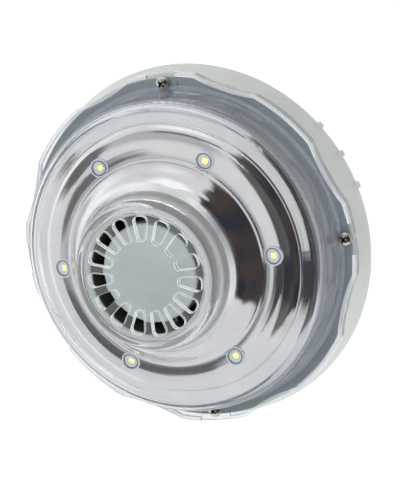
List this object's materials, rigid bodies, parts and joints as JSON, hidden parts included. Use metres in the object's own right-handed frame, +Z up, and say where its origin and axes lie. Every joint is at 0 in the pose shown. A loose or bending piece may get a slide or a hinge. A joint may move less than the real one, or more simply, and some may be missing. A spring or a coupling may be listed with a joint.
{
  "type": "underwater pool light",
  "caption": "Round water-driven pool light: clear lobed cover with slotted nose over a bright stepped reflector and LEDs, grey rear housing, twist-on wall adaptor.",
  "frame": {"origin": "centre of the wall adaptor's rear face, on the water's axis, where it meets the pool wall", "axes": "+Y along the water's axis into the wall, -Y out into the pool, +Z up"},
  "size_m": [0.1804, 0.098, 0.1804],
  "materials": {
    "housing_plastic": "fine satin, light grey",
    "pod_plastic": "satin, light blue-grey",
    "adaptor_plastic": "satin, light grey",
    "clear_plastic": "clear, polished",
    "bright_plating": "bright vacuum plating",
    "screw_steel": "bright nickel",
    "shaft_steel": "ground",
    "seal_rubber": "soft, matte",
    "clear_silicone": "soft, translucent",
    "board_white": "pale solder mask",
    "board_green": "green solder mask",
    "led_body": "white moulded",
    "led_phosphor": "yellow phosphor gel",
    "component_black": "moulded black",
    "bush_bronze": "plain bearing bronze",
    "core_steel": "laminated, varnished",
    "copper_winding": "enamelled wire",
    "magnet_ferrite": "sintered",
    "rotor_plastic": "dark moulded",
    "washer_plastic": "smooth",
    "lead_insulation": "insulated wire"
  },
  "bodies": {
    "adaptor": {"wall_adaptor": "adaptor_plastic", "wall_gasket": "seal_rubber", "adaptor_o_ring": "seal_rubber"},
    "light": {"rear_housing": "housing_plastic", "cover_gasket": "clear_silicone", "front_cover": "clear_plastic", "cover_screws": "screw_steel", "outlet_grille": "clear_plastic", "reflector": "bright_plating", "led_board": "board_white", "led_packages": "led_body", "led_phosphors": "led_phosphor", "led_lenses": "clear_plastic", "flow_tube": "housing_plastic", "tube_screws": "screw_steel", "tube_o_ring_rear": "seal_rubber", "tube_o_ring_front": "clear_silicone", "inlet_spider": "pod_plastic", "rear_bush": "bush_bronze", "front_bush": "bush_bronze", "generator_pod": "pod_plastic", "pod_rear_cap": "pod_plastic", "stator_can": "shaft_steel", "stator_core": "core_steel", "stator_coils": "copper_winding", "driver_board": "board_green", "board_screws": "screw_steel", "driver_components": "component_black", "generator_lead": "lead_insulation", "led_lead": "lead_insulation"},
    "rotor": {"turbine_rotor": "rotor_plastic", "rotor_shaft": "shaft_steel", "magnet_hub": "rotor_plastic", "rotor_magnet": "magnet_ferrite", "thrust_washers": "washer_plastic"}
  },
  "joints": [
    {"name": "light_twist", "type": "hinge", "parent": "adaptor", "child": "light", "pos_m": [0, 0, 0], "axis": [0, -1, 0], "range_deg": [0, 30]},
    {"name": "rotor_spin", "type": "hinge", "parent": "light", "child": "rotor", "pos_m": [0, 0, 0], "axis": [0, -1, 0], "continuous": true}
  ]
}
